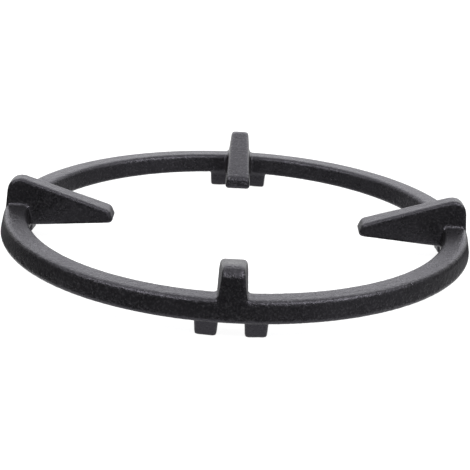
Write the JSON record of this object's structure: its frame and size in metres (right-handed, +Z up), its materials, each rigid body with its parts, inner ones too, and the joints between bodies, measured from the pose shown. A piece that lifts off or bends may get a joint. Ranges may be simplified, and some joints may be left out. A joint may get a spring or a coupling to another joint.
{
  "type": "wok ring",
  "caption": "Round cast-iron ring with inward sloping ribs that cradle a round-bottomed pan, and paired lugs underneath that straddle the fingers of a gas hob.",
  "frame": {"origin": "centre of the ring, on the plane of the lugs' undersides", "axes": "+Z up along the ring's axis, with one rib towards each of +X, +Y, -X and -Y; -Y is the side nearest the camera in the picture"},
  "size_m": [0.2402, 0.2402, 0.0325],
  "materials": {
    "wok_ring": "matt black vitreous enamel over grainy cast iron"
  },
  "bodies": {
    "root": {"wok_ring": "wok_ring"}
  },
  "joints": []
}
